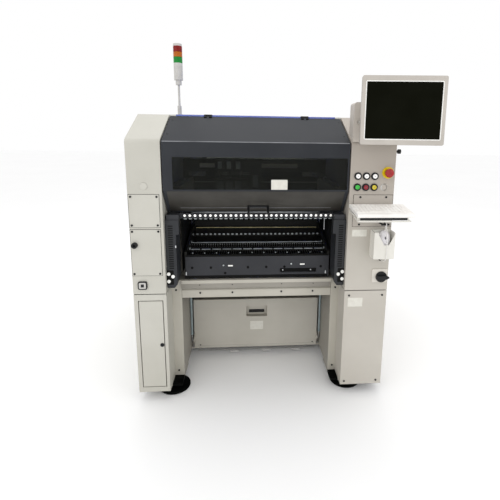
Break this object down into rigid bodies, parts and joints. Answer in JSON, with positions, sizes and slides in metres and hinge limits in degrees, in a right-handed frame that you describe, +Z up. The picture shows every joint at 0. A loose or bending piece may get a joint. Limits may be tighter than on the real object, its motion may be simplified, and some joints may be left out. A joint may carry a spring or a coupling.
{
  "type": "surface-mount placement machine",
  "caption": "Floor-standing machine that places electronic parts: steel frame, two covered towers, lifting hoods, feeder racks, gantry, board conveyor, monitor and controls.",
  "frame": {"origin": "on the floor, at the middle of the frame between the four towers' outer corners", "axes": "+X to the operator's right, +Y from the front to the rear, +Z up"},
  "size_m": [1.401, 1.599, 1.822],
  "materials": {
    "frame_paint": "powder coat, satin",
    "cover_paint": "powder coat, fine texture",
    "right_cover_paint": "powder coat, fine texture",
    "panel_paint": "powder coat, fine texture",
    "black_screw": "black oxide",
    "black_plastic": "matt",
    "beam_paint": "powder coat, satin",
    "cabinet_paint": "powder coat, satin",
    "roof_paint": "powder coat, satin",
    "blue_acrylic": "tinted acrylic",
    "guard_paint": "black powder coat",
    "dark_panel_paint": "black powder coat",
    "rack_steel": "oiled steel",
    "lamp_white": "diffusing",
    "cap_white": "gloss",
    "signal_body": "satin",
    "lens_red": "clear lens",
    "lens_amber": "clear lens",
    "lens_green": "clear lens",
    "post_paint": "powder coat",
    "arm_black": "satin",
    "monitor_plastic": "fine grain",
    "screen_glass": "anti-glare",
    "tray_paint": "powder coat",
    "keyboard_plastic": "fine grain",
    "holder_paint": "powder coat",
    "mouse_plastic": "satin",
    "lead_jacket": "satin",
    "button_white": "gloss",
    "button_green_plastic": "gloss",
    "button_red_plastic": "gloss",
    "button_yellow_plastic": "gloss",
    "collar_yellow": "gloss",
    "stop_red": "satin",
    "switch_plate_plastic": "satin",
    "lock_chrome": "polished",
    "hood_paint": "dark grey powder coat",
    "hood_glass": "smoked acrylic",
    "flap_paint": "powder coat",
    "gas_spring_paint": "gloss",
    "bright_steel": "ground",
    "conveyor_aluminium": "anodised",
    "rail_steel": "ground",
    "gantry_paint": "powder coat",
    "head_aluminium": "machined"
  },
  "bodies": {
    "machine": {"base_frame": "frame_paint", "levelling_feet": "black_plastic", "left_tower_cover": "cover_paint", "left_lower_cover": "cover_paint", "right_tower_cover": "right_cover_paint", "right_lower_cover": "right_cover_paint", "access_panels": "panel_paint", "cover_screws": "black_screw", "panel_fittings": "black_plastic", "beam_covers": "beam_paint", "centre_cabinet": "cabinet_paint", "roof_cover": "roof_paint", "roof_window": "blue_acrylic", "feeder_guards": "guard_paint", "feeder_panels": "dark_panel_paint", "feeder_racks": "rack_steel", "lane_lamps": "lamp_white", "guard_caps": "cap_white", "signal_tower_post": "signal_body", "signal_lens_red": "lens_red", "signal_lens_amber": "lens_amber", "signal_lens_green": "lens_green", "monitor_post": "post_paint", "keyboard_tray": "tray_paint", "keyboard": "keyboard_plastic", "mouse_holder": "holder_paint", "mouse": "mouse_plastic", "mouse_lead": "lead_jacket", "stop_collar": "collar_yellow", "switch_plate": "switch_plate_plastic", "conveyor_frame": "conveyor_aluminium", "gantry_rails": "rail_steel"},
    "front_hood": {"front_hood": "hood_paint", "front_hood_window": "hood_glass", "hood_handle": "black_plastic"},
    "rear_hood": {"rear_hood": "hood_paint", "rear_hood_window": "hood_glass"},
    "left_door": {"left_door": "cover_paint"},
    "door_lock": {"door_lock": "lock_chrome"},
    "button_white_left": {"button_white_left": "button_white"},
    "button_white_middle": {"button_white_middle": "button_white"},
    "button_white_right": {"button_white_right": "button_white"},
    "button_green": {"button_green": "button_green_plastic"},
    "button_red": {"button_red": "button_red_plastic"},
    "button_yellow": {"button_yellow": "button_yellow_plastic"},
    "stop_button": {"stop_button": "stop_red"},
    "main_switch": {"main_switch": "black_plastic"},
    "waste_flap": {"waste_flap": "flap_paint"},
    "flap_spring_tubes": {"flap_spring_tubes": "gas_spring_paint"},
    "flap_spring_rods": {"flap_spring_rods": "bright_steel"},
    "moving_rail": {"moving_rail": "conveyor_aluminium"},
    "support_table": {"support_table": "conveyor_aluminium"},
    "cross_beam": {"cross_beam": "gantry_paint"},
    "placement_head": {"placement_head": "head_aluminium"},
    "spindle_1": {"spindle_1": "bright_steel"},
    "spindle_2": {"spindle_2": "bright_steel"},
    "spindle_3": {"spindle_3": "bright_steel"},
    "monitor_arm": {"monitor_arm": "arm_black"},
    "monitor": {"monitor_housing": "monitor_plastic", "monitor_screen": "screen_glass"}
  },
  "joints": [
    {"name": "front_hood_lift", "type": "hinge", "parent": "machine", "child": "front_hood", "pos_m": [0, -0.49, 1.436], "axis": [-1, 0, 0], "range_deg": [0, 40]},
    {"name": "rear_hood_lift", "type": "hinge", "parent": "machine", "child": "rear_hood", "pos_m": [0, 0.49, 1.436], "axis": [1, 0, 0], "range_deg": [0, 40]},
    {"name": "left_door_swing", "type": "hinge", "parent": "machine", "child": "left_door", "pos_m": [-0.598, -0.714, 0.3], "axis": [0, 0, -1], "range_deg": [0, 110]},
    {"name": "door_lock_turn", "type": "hinge", "parent": "left_door", "child": "door_lock", "pos_m": [-0.502, -0.712, 0.315], "axis": [0, -1, 0], "range_deg": [0, 90]},
    {"name": "button_white_left_press", "type": "slide", "parent": "machine", "child": "button_white_left", "axis": [0, 1, 0], "range_m": [0, 0.003], "stiffness_N_per_m": 400, "springref_m": -0.004},
    {"name": "button_white_middle_press", "type": "slide", "parent": "machine", "child": "button_white_middle", "axis": [0, 1, 0], "range_m": [0, 0.003], "stiffness_N_per_m": 400, "springref_m": -0.004},
    {"name": "button_white_right_press", "type": "slide", "parent": "machine", "child": "button_white_right", "axis": [0, 1, 0], "range_m": [0, 0.003], "stiffness_N_per_m": 400, "springref_m": -0.004},
    {"name": "button_green_press", "type": "slide", "parent": "machine", "child": "button_green", "axis": [0, 1, 0], "range_m": [0, 0.003], "stiffness_N_per_m": 400, "springref_m": -0.004},
    {"name": "button_red_press", "type": "slide", "parent": "machine", "child": "button_red", "axis": [0, 1, 0], "range_m": [0, 0.003], "stiffness_N_per_m": 400, "springref_m": -0.004},
    {"name": "button_yellow_press", "type": "slide", "parent": "machine", "child": "button_yellow", "axis": [0, 1, 0], "range_m": [0, 0.003], "stiffness_N_per_m": 400, "springref_m": -0.004},
    {"name": "stop_button_press", "type": "slide", "parent": "machine", "child": "stop_button", "axis": [0, 1, 0], "range_m": [0, 0.005], "stiffness_N_per_m": 600, "springref_m": -0.006},
    {"name": "main_switch_turn", "type": "hinge", "parent": "machine", "child": "main_switch", "pos_m": [0.59, -0.73, 0.658], "axis": [0, -1, 0], "range_deg": [0, 90]},
    {"name": "waste_flap_tilt", "type": "hinge", "parent": "machine", "child": "waste_flap", "pos_m": [0, -0.314, 0.052], "axis": [1, 0, 0], "range_deg": [0, 30]},
    {"name": "flap_spring_swing", "type": "hinge", "parent": "machine", "child": "flap_spring_tubes", "pos_m": [0, -0.352, 0.47], "axis": [1, 0, 0], "range_deg": [-5.2, 0.2]},
    {"name": "flap_spring_extend", "type": "slide", "parent": "flap_spring_tubes", "child": "flap_spring_rods", "axis": [0, 0, -1], "range_m": [-0.0005, 0.031]},
    {"name": "conveyor_width_slide", "type": "slide", "parent": "machine", "child": "moving_rail", "axis": [0, 1, 0], "range_m": [-0.15, 0.06]},
    {"name": "support_table_lift", "type": "slide", "parent": "machine", "child": "support_table", "axis": [0, 0, 1], "range_m": [0, 0.03]},
    {"name": "gantry_y_slide", "type": "slide", "parent": "machine", "child": "cross_beam", "axis": [0, 1, 0], "range_m": [-0.34, 0.58]},
    {"name": "head_x_slide", "type": "slide", "parent": "cross_beam", "child": "placement_head", "axis": [1, 0, 0], "range_m": [-0.13, 0.35]},
    {"name": "spindle_1_lift", "type": "slide", "parent": "placement_head", "child": "spindle_1", "axis": [0, 0, 1], "range_m": [-0.035, 0], "stiffness_N_per_m": 150, "springref_m": 0.04},
    {"name": "spindle_2_lift", "type": "slide", "parent": "placement_head", "child": "spindle_2", "axis": [0, 0, 1], "range_m": [-0.035, 0], "stiffness_N_per_m": 150, "springref_m": 0.04},
    {"name": "spindle_3_lift", "type": "slide", "parent": "placement_head", "child": "spindle_3", "axis": [0, 0, 1], "range_m": [-0.035, 0], "stiffness_N_per_m": 150, "springref_m": 0.04},
    {"name": "monitor_arm_swivel", "type": "hinge", "parent": "machine", "child": "monitor_arm", "pos_m": [0.512, -0.752, 1.414], "axis": [0, 0, 1], "range_deg": [-12, 25]},
    {"name": "monitor_tilt", "type": "hinge", "parent": "monitor_arm", "child": "monitor", "pos_m": [0.60029, -0.78249, 1.456], "axis": [0.993, -0.1184, 0], "range_deg": [-15, 10]}
  ],
  "couplings": [
    {"joint": "flap_spring_swing", "follows": "waste_flap_tilt", "ratio": -0.16011},
    {"joint": "flap_spring_extend", "follows": "waste_flap_tilt", "m_per_rad": 0.057482}
  ]
}
